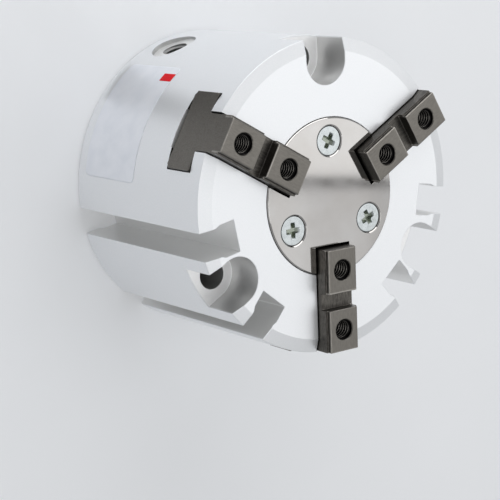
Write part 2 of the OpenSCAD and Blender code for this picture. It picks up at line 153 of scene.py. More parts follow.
def output(value):
    """What a node gives at its first live output; anything else stands for itself."""
    if isinstance(value, bpy.types.Node):
        return next(socket for socket in value.outputs if socket.enabled)
    return value


def add(tree, kind, inputs=(), **fields):
    """Adds one shader node, sets its fields, then fills its sockets, by name or in order, with values
    or with links from sockets and nodes."""
    node = tree.nodes.new("ShaderNode" + kind)
    for field, value in fields.items():
        setattr(node, field, value)
    for socket, value in inputs.items() if isinstance(inputs, dict) else enumerate(inputs):
        value = output(value)
        if isinstance(value, bpy.types.NodeSocket):
            tree.links.new(value, node.inputs[socket])
        else:
            node.inputs[socket].default_value = value
    return node


def new_material(name, **shader):
    """A material with one Principled shader set from keywords, and its Object coordinates. A value
    stays on its socket under a link, for whatever doesn't read the nodes."""
    material = bpy.data.materials.new(name)
    material.use_nodes = True
    tree = material.node_tree
    tree.nodes.clear()
    sockets = {word.replace("_", " "): value for word, value in shader.items()}
    surface = add(tree, "BsdfPrincipled", sockets)
    add(tree, "OutputMaterial", {"Surface": surface.outputs["BSDF"]})
    place = add(tree, "TexCoord").outputs["Object"]
    return material, tree, surface, place


def feed(tree, shader, socket, value):
    """Links a value into one socket of a shader."""
    tree.links.new(output(value), shader.inputs[socket])


def distance(tree, one_way, other_way):
    """How far a point lies from a line, from how far it lies one way and the other, square to that:
    the square root of the sum of the two squares."""
    one_way = add(tree, "Math", (one_way, one_way), operation="MULTIPLY")
    other_way = add(tree, "Math", (other_way, other_way), operation="MULTIPLY")
    total = add(tree, "Math", (one_way, other_way), operation="ADD")
    return add(tree, "Math", (total,), operation="SQRT")


def apart(tree, one, other):
    """How far apart two lengths are: their difference without its sign."""
    gap = add(tree, "Math", (one, other), operation="SUBTRACT")
    return add(tree, "Math", (gap,), operation="ABSOLUTE")


def sector(tree, place, first):
    """Folds the three sectors of the gripper on one another: returns how far a point lies along the
    middle of its sector and how far across it, its distance from the axis, and its height. The first
    middle is at the given angle."""
    split = add(tree, "SeparateXYZ", {"Vector": place}).outputs
    third = TURN / 3.0
    angle = add(tree, "Math", (split["Y"], split["X"]), operation="ARCTAN2")
    angle = add(tree, "Math", (angle, 0.5 * third - first), operation="ADD")
    angle = add(tree, "Math", (angle, third), operation="FLOORED_MODULO")
    angle = add(tree, "Math", (angle, 0.5 * third), operation="SUBTRACT")
    radius = distance(tree, split["X"], split["Y"])
    cosine = add(tree, "Math", (angle,), operation="COSINE")
    along = add(tree, "Math", (radius, cosine), operation="MULTIPLY")
    sine = add(tree, "Math", (angle,), operation="SINE")
    across = add(tree, "Math", (radius, sine), operation="MULTIPLY")
    across = add(tree, "Math", (across,), operation="ABSOLUTE")
    return along, across, radius, split["Z"]


def mottling(tree, place, size, detail, first, second, ends=None):
    """Noise of a size in millimetres, and the colour that it mixes from two: by its own value, or
    stretched between two ends where they are given."""
    noise = add(tree, "TexNoise", {
        "Vector": place, "Scale": 1.0 / (size * MM), "Detail": detail, "Roughness": 0.55})
    share = add(tree, "MapRange", (noise, *ends, 0.0, 1.0)) if ends else noise
    return noise, add(tree, "Mix", {0: share, 6: first, 7: second}, data_type="RGBA")


def seen_ray(tree, straight, gloss):
    """A strength for what is only seen: straight on the camera's rays, gloss in reflections and through
    glass, and nothing where it would light the object."""
    ray = add(tree, "LightPath").outputs
    direct = add(tree, "Math", (ray["Is Camera Ray"], straight), operation="MULTIPLY")
    mirrored = add(tree, "Math", (ray["Is Glossy Ray"], ray["Is Transmission Ray"]), operation="MAXIMUM")
    return add(tree, "Math", (mirrored, gloss, direct), operation="MULTIPLY_ADD")


# -------------------------------- meshes


def mesh_object(name, points, faces, smooth=True):
    """An object at the origin from points in metres and a list of faces."""
    mesh = bpy.data.meshes.new(name)
    mesh.from_pydata(points, [], faces)
    mesh.validate()
    mesh.polygons.foreach_set("use_smooth", np.full(len(mesh.polygons), smooth))
    mesh.update()
    piece = bpy.data.objects.new(name, mesh)
    bpy.context.scene.collection.objects.link(piece)
    return piece


def tube_faces(rows, ring):
    """Quads between rows of ring points each, closed round the ring, wound so that they face
    outwards where the rows climb +Z and the ring turns anticlockwise."""
    i = np.arange(rows - 1)[:, None] * ring
    j = np.arange(ring)[None, :]
    k = (j + 1) % ring
    return np.stack([i + j, i + k, i + ring + k, i + ring + j], axis=-1).reshape(-1, 4).tolist()


def merged_copy(node, name):
    """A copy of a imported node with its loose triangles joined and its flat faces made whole."""
    mesh = frame["nodes"][node].data.copy()
    mesh.name = name
    mesh.materials.clear()
    for layer in ("custom_normal", "sharp_edge", "sharp_face"):
        if layer in mesh.attributes:
            mesh.attributes.remove(mesh.attributes[layer])
    work = bmesh.new()
    work.from_mesh(mesh)
    bmesh.ops.remove_doubles(work, verts=work.verts, dist=0.002 * MM)
    bmesh.ops.dissolve_limit(work, angle_limit=math.radians(0.4), verts=work.verts, edges=work.edges)
    bmesh.ops.triangulate(work, faces=[f for f in work.faces if len(f.verts) > 4])
    work.to_mesh(mesh)
    work.free()
    piece = bpy.data.objects.new(name, mesh)
    bpy.context.scene.collection.objects.link(piece)
    return piece


def break_edges(piece, width, corner=32.0):
    """Rounds every edge sharper than corner degrees to the given width, and shades the rest smooth."""
    mesh = piece.data
    mesh.polygons.foreach_set("use_smooth", np.full(len(mesh.polygons), True))
    mesh.set_sharp_from_angle(angle=math.radians(corner))
    rounding = piece.modifiers.new("Broken edges", "BEVEL")
    rounding.limit_method = "ANGLE"
    rounding.angle_limit = math.radians(corner)
    rounding.width = width
    rounding.segments = 2
    rounding.use_clamp_overlap = False
    rounding.harden_normals = True
    rounding.miter_outer = "MITER_ARC"


def keep_rim(piece, height):
    """Keeps the edges that lie in the flat face at that height sharp, however shallow they are."""
    mesh = piece.data
    points = np.empty(3 * len(mesh.vertices))
    mesh.vertices.foreach_get("co", points)
    level = np.abs(points.reshape(-1, 3)[:, 2] - height) < 0.005 * MM
    ends = np.empty(2 * len(mesh.edges), dtype=np.int32)
    mesh.edges.foreach_get("vertices", ends)
    for edge in np.nonzero(level[ends.reshape(-1, 2)].all(axis=1))[0]:
        mesh.edges[int(edge)].use_edge_sharp = True


def finish_piece(piece, material, body, slot, *nodes):
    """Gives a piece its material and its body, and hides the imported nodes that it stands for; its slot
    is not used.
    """
    piece.data.materials.clear()
    piece.data.materials.append(material)
    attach(piece, body)
    if nodes:
        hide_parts(*nodes)


def mount(name):
    """The record's mount of that name."""
    return next(m for m in frame["record"]["mounts"] if m["name"] == name)


# -------------------------------- finishes


def anodised_aluminium(colour, machined):
    """Hard anodised aluminium, bead blasted: a pale satin metal with a fine grain. Milled slots and
    bores are a little darker and smoother than the outside, the front face and its chamfer. Painted
    shade darkens the walls of the mounting holes, the air ports and the slideways of the jaws, and
    painted light brightens the floors of the counterbores."""
    material, tree, surface, place = new_material(
        "Hard anodised aluminium, bead blasted", Metallic=0.7, Roughness=0.42)
    # blasting grit is finer; this is what shows
    grain, outside = mottling(tree, place, 0.3, 2.0, linear("#eef0f2"), colour, NOISE_ENDS)

    # machined surfaces lie inside the outer wall, the front face with its chamfer, and the rear face
    across, radius, height = sector(tree, place, math.radians(-90.0))[1:]
    width, fall = (value * MM for value in CHAMFER)
    inside = add(tree, "MapRange", (radius, BODY_RADIUS - 0.4 * MM, BODY_RADIUS - 0.1 * MM, 1.0, 0.0))
    cone = add(tree, "MapRange", (radius, BODY_RADIUS - width, BODY_RADIUS, 0.0, fall))
    level = add(tree, "Math", (height, cone), operation="ADD")
    below = add(tree, "MapRange", (level, FRONT_HEIGHT - 0.3 * MM, FRONT_HEIGHT - 0.05 * MM, 1.0, 0.0))
    above = add(tree, "MapRange", (height, 0.1 * MM, 0.3 * MM, 0.0, 1.0))
    cut = add(tree, "Math", (inside, below), operation="MULTIPLY")
    cut = add(tree, "Math", (cut, above), operation="MULTIPLY")

    # mounting holes: painted shade on the counterbore's wall, which is open outwards, painted light on
    # its floor, and painted shade in the hole in that
    pitch, bore_r, drill_r, bore_floor = (value * MM for value in BORES)
    along, aside = sector(tree, place, math.radians(90.0))[:2]
    side = add(tree, "Math", (along, pitch), operation="SUBTRACT")
    inward = add(tree, "Math", (side, 0.0), operation="MINIMUM")
    near = add(tree, "Math", (distance(tree, inward, aside), bore_r), operation="LESS_THAN")
    higher = add(tree, "Math", (height, bore_floor + 0.1 * MM), operation="GREATER_THAN")
    painted_bore_shade = add(tree, "Math", (near, higher), operation="MULTIPLY")
    painted_bore_shade = add(tree, "Math", (painted_bore_shade, 0.42), operation="MULTIPLY")
    floor = add(tree, "Math", (height, bore_floor, 0.1 * MM), operation="COMPARE")
    painted_floor_light = add(tree, "Math", (near, floor), operation="MULTIPLY")
    away = distance(tree, side, aside)
    painted_hole_shade = add(tree, "MapRange", (away, drill_r, drill_r + 0.05 * MM, 0.6, 0.0))
    shade = add(tree, "Math", (painted_bore_shade, painted_hole_shade), operation="MAXIMUM")
    milled = add(tree, "Mix", {0: painted_floor_light, 6: machined, 7: linear("#ffffff")}, data_type="RGBA")
    milled = add(tree, "Mix", {0: shade, 6: milled, 7: linear("#929291")}, data_type="RGBA")
    base = add(tree, "Mix", {0: cut, 6: outside, 7: milled}, data_type="RGBA")

    # painted shade in the slideways of the jaws, where the gaps round the jaws lie in shade
    base_half, neck_half, base_low, base_high = (value * MM for value in SLIDEWAY)
    reach = add(tree, "MapRange", (height, base_high, base_high + 0.01 * MM, base_half, neck_half))
    within = add(tree, "Math", (across, reach), operation="LESS_THAN")
    higher = add(tree, "Math", (height, base_low), operation="GREATER_THAN")
    painted_slideway_shade = add(tree, "Math", (within, higher), operation="MULTIPLY")
    base = add(tree, "Mix", {0: painted_slideway_shade, 6: base, 7: linear("#2b2a28")}, data_type="RGBA")

    # air ports: painted shade in the bore of the thread and on the wall of the spot face, on the port's
    # own side only
    thread_r, face_r = (value * MM for value in PORTS)
    for port in (mount("opening_port"), mount("closing_port")):
        angle = math.atan2(port["axis"][1], port["axis"][0])
        turned = add(tree, "Mapping", {"Vector": place, "Rotation": (0.0, 0.0, -angle)})
        split = add(tree, "SeparateXYZ", {"Vector": turned}).outputs
        rise = add(tree, "Math", (split["Z"], port["pos_m"][2]), operation="SUBTRACT")
        away = distance(tree, split["Y"], rise)
        bore = add(tree, "MapRange", (away, thread_r, thread_r + 0.1 * MM, 0.75, 0.0))
        wall = add(tree, "Math", (away, face_r, 0.1 * MM), operation="COMPARE")
        wall = add(tree, "Math", (wall, 0.5), operation="MULTIPLY")
        shade = add(tree, "Math", (bore, wall), operation="MAXIMUM")
        ahead = add(tree, "Math", (split["X"], 0.0), operation="GREATER_THAN")
        shade = add(tree, "Math", (shade, ahead), operation="MULTIPLY")
        base = add(tree, "Mix", {0: shade, 6: base, 7: linear("#6e6e6d")}, data_type="RGBA")
    feed(tree, surface, "Base Color", base)
    rough = add(tree, "MapRange", (cut, 0.0, 1.0, 0.42, 0.38))
    feed(tree, surface, "Roughness", add(tree, "Math", (painted_floor_light, 0.2, rough), operation="MULTIPLY_ADD"))
    feed(tree, surface, "Normal", add(tree, "Bump", {
        "Height": grain, "Distance": 0.01 * MM, "Strength": 0.3}))
    return material


def polished_stainless(colour, screw_r, head_r):
    """Stainless steel plate, ground and then polished: grey, and near enough a mirror that the jaws
    show in it, with the faintest clouding. Painted shade darkens the countersinks round the screws'
    heads."""
    material, tree, surface, place = new_material(
        "Polished stainless steel", Metallic=1.0, Roughness=0.06)
    along, across = sector(tree, place, math.radians(90.0))[:2]
    side = add(tree, "Math", (along, screw_r), operation="SUBTRACT")
    away = distance(tree, side, across)
    # painted shade round each screw's head, in the gap of the countersink
    painted_sunk_shade = add(tree, "MapRange", (away, head_r, head_r + 0.04 * MM, 1.0, 0.0))
    cloud, steel = mottling(tree, place, 6.0, 2.0, linear("#b7b4b1"), colour, NOISE_ENDS)
    steel = add(tree, "Mix", {0: painted_sunk_shade, 6: steel, 7: linear("#3c3b3a")}, data_type="RGBA")
    feed(tree, surface, "Base Color", steel)
    feed(tree, surface, "Roughness", add(tree, "MapRange", (cloud, *NOISE_ENDS, 0.05, 0.075)))
    return material


def bright_zinc(top):
    """Bright zinc plating on a small steel screw: pale, faintly blue and glossy, with slight dulling,
    and with painted shade that darkens the recess."""
    material, tree, surface, place = new_material("Bright zinc plating", Metallic=1.0, Roughness=0.22)
    mottle, zinc = mottling(tree, place, 1.1, 3.0, linear("#bcc1c2"), linear("#ced3d4"), NOISE_ENDS)
    height = add(tree, "SeparateXYZ", {"Vector": place}).outputs["Z"]
    # painted shade in the recess, darker the deeper it goes
    painted_recess_shade = add(tree, "MapRange", (height, top - 0.45 * MM, top - 0.1 * MM, 1.0, 0.0))
    zinc = add(tree, "Mix", {0: painted_recess_shade, 6: zinc, 7: linear("#9aa095")}, data_type="RGBA")
    feed(tree, surface, "Base Color", zinc)
    feed(tree, surface, "Roughness", add(tree, "MapRange", (mottle, *NOISE_ENDS, 0.2, 0.28)))
    return material


def ground_steel(angle, colour, dark):
    """Hardened tool steel, oiled black and then ground on its pads: brownish grey where the wheel has
    been, with short grinding lines along the jaw, and darker on the flanks that it left alone, where the
    darkness is partly painted shade. Painted shade blackens the threads, a painted highlight lightens
    their crests, and painted highlights run along the pads' edges."""
    material, tree, surface, place = new_material(
        "Ground hardened steel", Metallic=1.0, Roughness=0.34)
    along = add(tree, "Mapping", {"Vector": place, "Rotation": (0.0, 0.0, -angle)}).outputs["Vector"]
    lines = add(tree, "Mapping", {"Vector": along, "Scale": (0.25, 1.0, 1.0)}).outputs["Vector"]
    split = add(tree, "SeparateXYZ", {"Vector": along}).outputs
    across = add(tree, "Math", (split["Y"],), operation="ABSOLUTE")
    # wheel marks are finer; this is what shows
    scratch = add(tree, "TexNoise", {
        "Vector": lines, "Scale": 1.0 / (0.26 * MM), "Detail": 4.0, "Roughness": 0.65})
    mottle = add(tree, "TexNoise", {
        "Vector": place, "Scale": 1.0 / (1.2 * MM), "Detail": 3.0, "Roughness": 0.55})
    inner, outer = (value * MM for value in PAD_ENDS)
    height = PAD_HEIGHT * MM
    # the top and the outer end take the lighter tone as ground faces; the flanks take the darker one as
    # unground oxide and as painted shade
    top = add(tree, "MapRange", (split["Z"], height - 0.22 * MM, height - 0.14 * MM, 0.0, 1.0))
    end = add(tree, "MapRange", (split["X"], outer - 0.18 * MM, outer - 0.06 * MM, 0.0, 0.75))
    ground = add(tree, "Math", (top, end), operation="MAXIMUM")
    base = add(tree, "Mix", {0: ground, 6: dark, 7: colour}, data_type="RGBA")
    marked = add(tree, "MapRange", (scratch, *NOISE_ENDS, 0.0, 0.5))
    base = add(tree, "Mix", {0: marked, 6: base, 7: linear("#85817b")}, data_type="RGBA")

    # how far a point lies from the planes of the pads' ends, of their sides and of their top
    inwards = add(tree, "Math", (split["X"], inner), operation="SUBTRACT")
    outwards = add(tree, "Math", (outer, split["X"]), operation="SUBTRACT")
    ends = add(tree, "Math", (inwards, outwards), operation="MINIMUM")
    notch_low, notch_high = (value * MM for value in PAD_NOTCH)
    notch = apart(tree, split["X"], 0.5 * (notch_low + notch_high))
    notch = add(tree, "Math", (notch, 0.5 * (notch_high - notch_low)), operation="SUBTRACT")
    ends = add(tree, "Math", (ends, notch), operation="MINIMUM")
    ends = add(tree, "Math", (ends,), operation="ABSOLUTE")
    sides = apart(tree, PAD_HALF * MM, across)
    fall = apart(tree, height, split["Z"])
    # an edge is where two of the three are small, so the middle one of them tells how near it is
    lesser = add(tree, "Math", (ends, sides), operation="MINIMUM")
    greater = add(tree, "Math", (ends, sides), operation="MAXIMUM")
    greater = add(tree, "Math", (greater, fall), operation="MINIMUM")
    edge = add(tree, "Math", (lesser, greater), operation="MAXIMUM")
    # painted highlights along the pads' edges, patchy and only near the top
    painted_edge_highlight = add(tree, "MapRange", (edge, 0.07 * MM, 0.25 * MM, 0.9, 0.0))
    patchy = add(tree, "MapRange", (mottle, 0.3, 0.6, 0.4, 1.0))
    painted_edge_highlight = add(tree, "Math", (painted_edge_highlight, patchy), operation="MULTIPLY")
    raised = add(tree, "MapRange", (split["Z"], height - 2.7 * MM, height - 2.5 * MM, 0.0, 1.0))
    painted_edge_highlight = add(tree, "Math", (painted_edge_highlight, raised), operation="MULTIPLY")
    base = add(tree, "Mix", {0: painted_edge_highlight, 6: base, 7: linear("#a5a19b")}, data_type="RGBA")

    # painted shade blackens the threads, and a painted highlight lightens their crests
    thread_r = mount("jaw_1_inner_thread")["dims"]["r_mm"] * MM
    crest_r = thread_r - JAW_THREAD[1] * MM
    for hole in PAD_HOLES:
        side = add(tree, "Math", (split["X"], hole * MM), operation="SUBTRACT")
        away = distance(tree, side, across)
        painted_sunk_shade = add(tree, "MapRange", (away, thread_r + 0.02 * MM, thread_r + 0.1 * MM, 1.0, 0.0))
        base = add(tree, "Mix", {0: painted_sunk_shade, 6: base, 7: linear("#131212")}, data_type="RGBA")
        crest = add(tree, "MapRange", (away, crest_r + 0.01 * MM, crest_r + 0.07 * MM, 1.0, 0.0))
        base = add(tree, "Mix", {0: crest, 6: base, 7: linear("#7d7a75")}, data_type="RGBA")
    feed(tree, surface, "Base Color", base)
    feed(tree, surface, "Roughness", add(tree, "MapRange", (mottle, *NOISE_ENDS, 0.3, 0.42)))
    feed(tree, surface, "Normal", add(tree, "Bump", {
        "Height": scratch, "Distance": 0.015 * MM, "Strength": 0.5}))
    return material


def mottled_finish(name, size, detail, first, second, rough, ends=None, **shader):
    """A material of two tones, as mottling mixes them, whose roughness follows the same noise between
    two values."""
    material, tree, surface, place = new_material(name, **shader)
    noise, tone = mottling(tree, place, size, detail, linear(first), linear(second), ends)
    feed(tree, surface, "Base Color", tone)
    feed(tree, surface, "Roughness", add(tree, "MapRange", (noise, *NOISE_ENDS, *rough)))
    return material, tree, surface, place


def pit(tree, surface, place, size, depth):
    """Fine bumps of a size and a depth in millimetres, from noise."""
    noise = add(tree, "TexNoise", {
        "Vector": place, "Scale": 1.0 / (size * MM), "Detail": 2.0, "Roughness": 0.55})
    feed(tree, surface, "Normal", add(tree, "Bump", {
        "Height": noise, "Distance": depth * MM, "Strength": 0.3}))


def cam_steel():
    """Hardened and ground steel of the wedge cam, oiled: grey and smooth, with faint wheel marks."""
    return mottled_finish("Hardened steel, oiled", 0.4, 4.0, "#77777a", "#a9a9ab", (0.22, 0.4),
                          Metallic=1.0, Roughness=0.3)[0]


def black_oxide():
    """Black oxide on a socket head bolt: nearly black, with a low oily sheen."""
    return mottled_finish("Black oxide steel", 0.5, 3.0, "#2c2d30", "#46474a", (0.32, 0.5),
                          Metallic=1.0, Roughness=0.4)[0]


def turned_aluminium(name, colour, ring_mm):
    """Turned and anodised aluminium: pale grey with fine rings that the tool left round the axis."""
    material, tree, surface, place = new_material(name, Metallic=0.95, Roughness=0.34)
    rings = add(tree, "TexWave", {
        "Vector": place, "Scale": WAVE_PERIOD / (ring_mm * MM), "Distortion": 0.6, "Detail": 2.0,
        "Detail Scale": 1.5}, wave_type="RINGS", rings_direction="Z", wave_profile="SIN").outputs["Fac"]
    tone = mottling(tree, place, 5.0, 2.0, colour, linear("#e8e9ec"))[1]
    feed(tree, surface, "Base Color", tone)
    feed(tree, surface, "Roughness", add(tree, "MapRange", (rings, 0.0, 1.0, 0.28, 0.42)))
    feed(tree, surface, "Normal", add(tree, "Bump", {
        "Height": rings, "Distance": 0.006 * MM, "Strength": 0.35}))
    return material


def nitrile_rubber():
    """Moulded nitrile rubber: black and dull, with a dusting of talc that greys it here and there."""
    material, tree, surface, place = mottled_finish(
        "Nitrile rubber", 0.7, 4.0, "#141416", "#2b2b2d", (0.52, 0.75), Metallic=0.0, Roughness=0.62)
    pit(tree, surface, place, 0.2, 0.01)
    return material


def filled_resin():
    """Fabric-reinforced phenolic of the wear ring: dull brown with darker flecks."""
    return mottled_finish("Phenolic resin, filled", 0.45, 4.0, "#5d3b22", "#8a6038", (0.48, 0.66),
                          (0.35, 0.65), Metallic=0.0, Roughness=0.55)[0]


def bonded_magnet():
    """Plastic-bonded ferrite: dark grey and matt, with a few paler grains."""
    return mottled_finish("Plastic-bonded ferrite", 0.3, 4.0, "#2f3033", "#56575b", (0.42, 0.6),
                          (0.4, 0.75), Metallic=0.0, Roughness=0.5)[0]


def phosphated_spring_steel():
    """Phosphated spring steel, stamped: charcoal grey, dull and slightly mottled."""
    material, tree, surface, place = mottled_finish(
        "Phosphated spring steel", 0.9, 4.0, "#3d3b39", "#5c5a57", (0.4, 0.58), NOISE_ENDS,
        Metallic=0.85, Roughness=0.48)
    pit(tree, surface, place, 0.15, 0.006)
    return material


def label_film(colour):
    """Matt silver polyester film: pale blue-grey, a little metallic, with a faint orange-peel sheen."""
    material, tree, surface, place = new_material("Silver polyester film", Metallic=0.4, Roughness=0.5)
    tone = mottling(tree, place, 4.0, 2.0, linear("#eff2f8"), colour, NOISE_ENDS)[1]
    feed(tree, surface, "Base Color", tone)
    peel = add(tree, "TexNoise", {
        "Vector": place, "Scale": 1.0 / (0.5 * MM), "Detail": 2.0, "Roughness": 0.55})
    feed(tree, surface, "Roughness", add(tree, "MapRange", (peel, *NOISE_ENDS, 0.45, 0.55)))
    return material


def printed_ink(colour):
    """Solid screen-printed ink on the film: even, and dull enough to keep its red."""
    material, tree, surface, place = new_material(
        "Screen-printed ink", Metallic=0.0, Roughness=0.5, Specular_IOR_Level=0.1)
    tone = mottling(tree, place, 0.4, 2.0, colour, linear("#e01019"))[1]
    feed(tree, surface, "Base Color", tone)
    return material


# -------------------------------- settings


def length(name, text, default):
    """A length setting with its default in millimetres."""
    return FloatProperty(name=name, description=text, default=default * MM, unit="LENGTH", precision=6)


def colour(name, text, hex_colour):
    """A colour setting with its default in sRGB hex."""
    return FloatVectorProperty(name=name, description=text, default=linear(hex_colour), size=4,
                               subtype="COLOR", min=0.0, max=1.0)


def angle(name, text, default):
    """An angle setting with its default in degrees."""
    return FloatProperty(name=name, description=text, default=math.radians(default), unit="ROTATION")


class BodySettings(bpy.types.PropertyGroup):
    """Sizes and colours of the body."""
    edge: length("Broken edges", "Width of the broken edges of the body", 0.12)
    outside: colour("Outside", "Colour of the anodised outside", "#f2f3f5")
    machined: colour("Machined", "Colour inside the slots and bores", "#eeeeed")


class PlateSettings(bpy.types.PropertyGroup):
    """Sizes and colours of the end plate and its screws."""
    edge: length("Broken edges", "Width of the broken edges of the plate", 0.08)
    steel: colour("Stainless steel", "Colour of the polished plate", "#bebcba")
    wing: length("Recess wing", "Width of a wing of the cross recess", 1.05)
    reach: length("Recess reach", "Distance from the screw's centre to the end of a wing", 1.65)
    recess: length("Recess depth", "Depth of the cross recess", 0.9)
    gap: length("Gap", "How much smaller a screw's head is than the packed one, all round", 0.05)


class JawSettings(bpy.types.PropertyGroup):
    """Sizes and colours of the jaws."""
    edge: length("Broken edges", "Width of the broken edges of the jaws", 0.14)
    ground: colour("Ground steel", "Colour of the ground pads", "#6b6863")
    # the flanks' colour is darker as unground oxide and as painted shade
    flank: colour("Flanks", "Colour of the flanks that aren't ground", "#403e3b")


class ThreadSettings(bpy.types.PropertyGroup):
    """Pitches of the visible threads."""
    jaw_pitch: length("Jaw thread pitch", "Pitch of the threads in the jaws", 0.7)
    port_pitch: length("Port thread pitch", "Pitch of the threads in the air ports", 0.8)
    port_mouth: length("Port face", "Distance of the ports' spot faces from the gripper's axis", 30.1)
    steps: IntProperty(name="Steps per turn", description="Points along one turn of a thread",
                       default=40, min=12)


class LabelSettings(bpy.types.PropertyGroup):
    """Sizes and colours of the label."""
    start: angle("Start", "Angle at which the label begins", 125.0)
    sweep: angle("Sweep", "Angle that the label covers", 47.6)
    corner: length("Corner radius", "Radius of the label's corners", 1.2)
    film: colour("Film", "Colour of the film", "#f8faff")
    mark: colour("Mark", "Colour of the printed mark", "#f21420")


class StageSettings(bpy.types.PropertyGroup):
    """The floor, the camera and the lamps."""
    floor: colour("Floor", "Colour of the floor", "#dfe1e4")
    lens: FloatProperty(name="Lens", description="Focal length of the camera", default=116.22,
                        unit="CAMERA")


SETTINGS = {
    "gripper_body": BodySettings, "gripper_plate": PlateSettings, "gripper_jaws": JawSettings,
    "gripper_threads": ThreadSettings, "gripper_label": LabelSettings, "gripper_stage": StageSettings,
}


# -------------------------------- shapes


def screw_surface(name, centre, top, head_r, core_r, tip_z, settings, turn, ring=144, face_rows=43):
    """A countersunk screw as one closed surface: a profile of radius and height carried round the
    screw's axis. Inside the head, a point sinks by the greater of the two crossed wings, each as deep
    as the lesser of its floor, which is flat and then rises by 2.2 * recess * (1 - along / reach), and
    its steep wall, 6 * (half width - across)."""
    edge = 0.12 * MM
    # the head's face, its broken edge, the cone's foot, the core and the tip
    radii = np.concatenate([np.linspace(0.0, head_r - edge, face_rows + 1)[1:],
                            [head_r - 0.3 * edge, head_r, core_r, core_r, 0.7 * core_r]])
    falls = np.concatenate([np.zeros(face_rows),
                            [-0.3 * edge, -edge, core_r - head_r - edge, tip_z - top + 0.4 * MM,
                             tip_z - top]])
    angles = np.linspace(0.0, TURN, ring, endpoint=False)
    x, y = radii[:, None] * np.cos(angles), radii[:, None] * np.sin(angles)
    cosine, sine = math.cos(turn), math.sin(turn)
    one_way, other_way = np.abs(cosine * x + sine * y), np.abs(-sine * x + cosine * y)

    def wing(along, across):
        floor = settings.recess * np.clip(2.2 * (1.0 - along / settings.reach), 0.0, 1.0)
        half = 0.5 * settings.wing * (1.1 - 0.2 * along / settings.reach)
        return np.minimum(floor, np.clip(6.0 * (half - across), 0.0, None))

    sink = np.maximum(wing(one_way, other_way), wing(other_way, one_way))
    sink[face_rows:] = 0.0
    height = top + falls[:, None] - sink
    grid = np.stack([centre[0] + x, centre[1] + y, height], axis=-1).reshape(-1, 3)
    poles = [[centre[0], centre[1], top - settings.recess], [centre[0], centre[1], tip_z]]
    points = np.concatenate([grid, poles]).tolist()
    rows = len(radii)
    first, last = rows * ring, rows * ring + 1
    faces = [face[::-1] for face in tube_faces(rows, ring)]
    faces += [[i, (i + 1) % ring, first] for i in range(ring)]
    base = (rows - 1) * ring
    faces += [[base + (i + 1) % ring, base + i, last] for i in range(ring)]
    piece = mesh_object(name, points, faces)
    piece.data.set_sharp_from_angle(angle=math.radians(38.0))
    return piece


def thread_ridge(name, mouth, axis, radius, minor, pitch, depth, steps):
    """The ridge of an internal thread: a four-sided profile carried along a right-handed helix. At
    each turn its height is pitch * turn above the hole's bottom, and its crest falls from the wall to
    the minor radius in the first half turn and back in the last."""
    axis = np.array(axis) / np.linalg.norm(axis)
    side = np.cross(axis, [0.0, 0.0, 1.0] if abs(axis[2]) < 0.9 else [1.0, 0.0, 0.0])
    side /= np.linalg.norm(side)
    other = np.cross(axis, side)
    turns = depth / pitch
    turn = np.linspace(0.0, turns, int(turns * steps) + 1)
    fade = np.clip(np.minimum(turn, turns - turn) / 0.5, 0.02, 1.0)
    wall = radius + 0.015 * MM                      # the foot of the ridge is sunk in the hole's wall
    crest = wall - (wall - minor) * fade
    half_base, half_crest = 0.44 * pitch, 0.09 * pitch
    foot = np.full_like(turn, wall)
    radii = np.stack([foot, crest, crest, foot], axis=1)
    rise = np.stack([-half_base * fade, -half_crest * fade, half_crest * fade, half_base * fade], axis=1)
    rise += (pitch * turn - depth)[:, None]
    angle = (TURN * turn)[:, None, None]
    points = (np.array(mouth) + rise[..., None] * axis
              + radii[..., None] * (np.cos(angle) * side + np.sin(angle) * other))
    faces = tube_faces(len(turn), 4)
    faces += [[3, 2, 1, 0], [4 * (len(turn) - 1) + corner for corner in range(4)]]
    piece = mesh_object(name, points.reshape(-1, 3).tolist(), faces)
    work = bmesh.new()
    work.from_mesh(piece.data)
    bmesh.ops.recalc_face_normals(work, faces=work.faces)
    work.to_mesh(piece.data)
    work.free()
    piece.data.set_sharp_from_angle(angle=math.radians(40.0))
    return piece


def bent_patch(name, radius, middle, half_arc, low, high, corner, columns=73, rows=41):
    """A rounded rectangle laid on a cylinder. Its half length along the arc is half_arc - corner +
    sqrt(corner^2 - past^2), where past is how far a row lies past the corners' centres."""
    half = 0.5 * (high - low)
    climb = half * np.sin(0.5 * math.pi * np.linspace(-1.0, 1.0, rows))
    past = np.clip(np.abs(climb) - (half - corner), 0.0, corner)
    reach = half_arc - corner + np.sqrt(np.clip(corner ** 2 - past ** 2, 0.0, None))
    angle = middle + reach[:, None] * np.linspace(-1.0, 1.0, columns)[None, :] / radius
    z = np.repeat((0.5 * (low + high) + climb)[:, None], columns, axis=1)
    points = np.stack([radius * np.cos(angle), radius * np.sin(angle), z], axis=-1).reshape(-1, 3)
    i = np.arange(rows - 1)[:, None] * columns
    j = np.arange(columns - 1)[None, :]
    faces = np.stack([i + j, i + j + 1, i + columns + j + 1, i + columns + j], axis=-1).reshape(-1, 4)
    return mesh_object(name, points.tolist(), faces.tolist())


def thicken(piece, depth):
    """Gives a thin sheet its thickness, inwards from its outer face."""
    wall = piece.modifiers.new("Film thickness", "SOLIDIFY")
    wall.thickness = depth
    wall.offset = -1.0


# -------------------------------- stage


def placing(axes, place):
    """The matrix of an object whose X, Y and Z lie along the given axes, at a place in metres."""
    matrix = Matrix(axes).transposed().to_4x4()
    matrix.translation = place
    return matrix


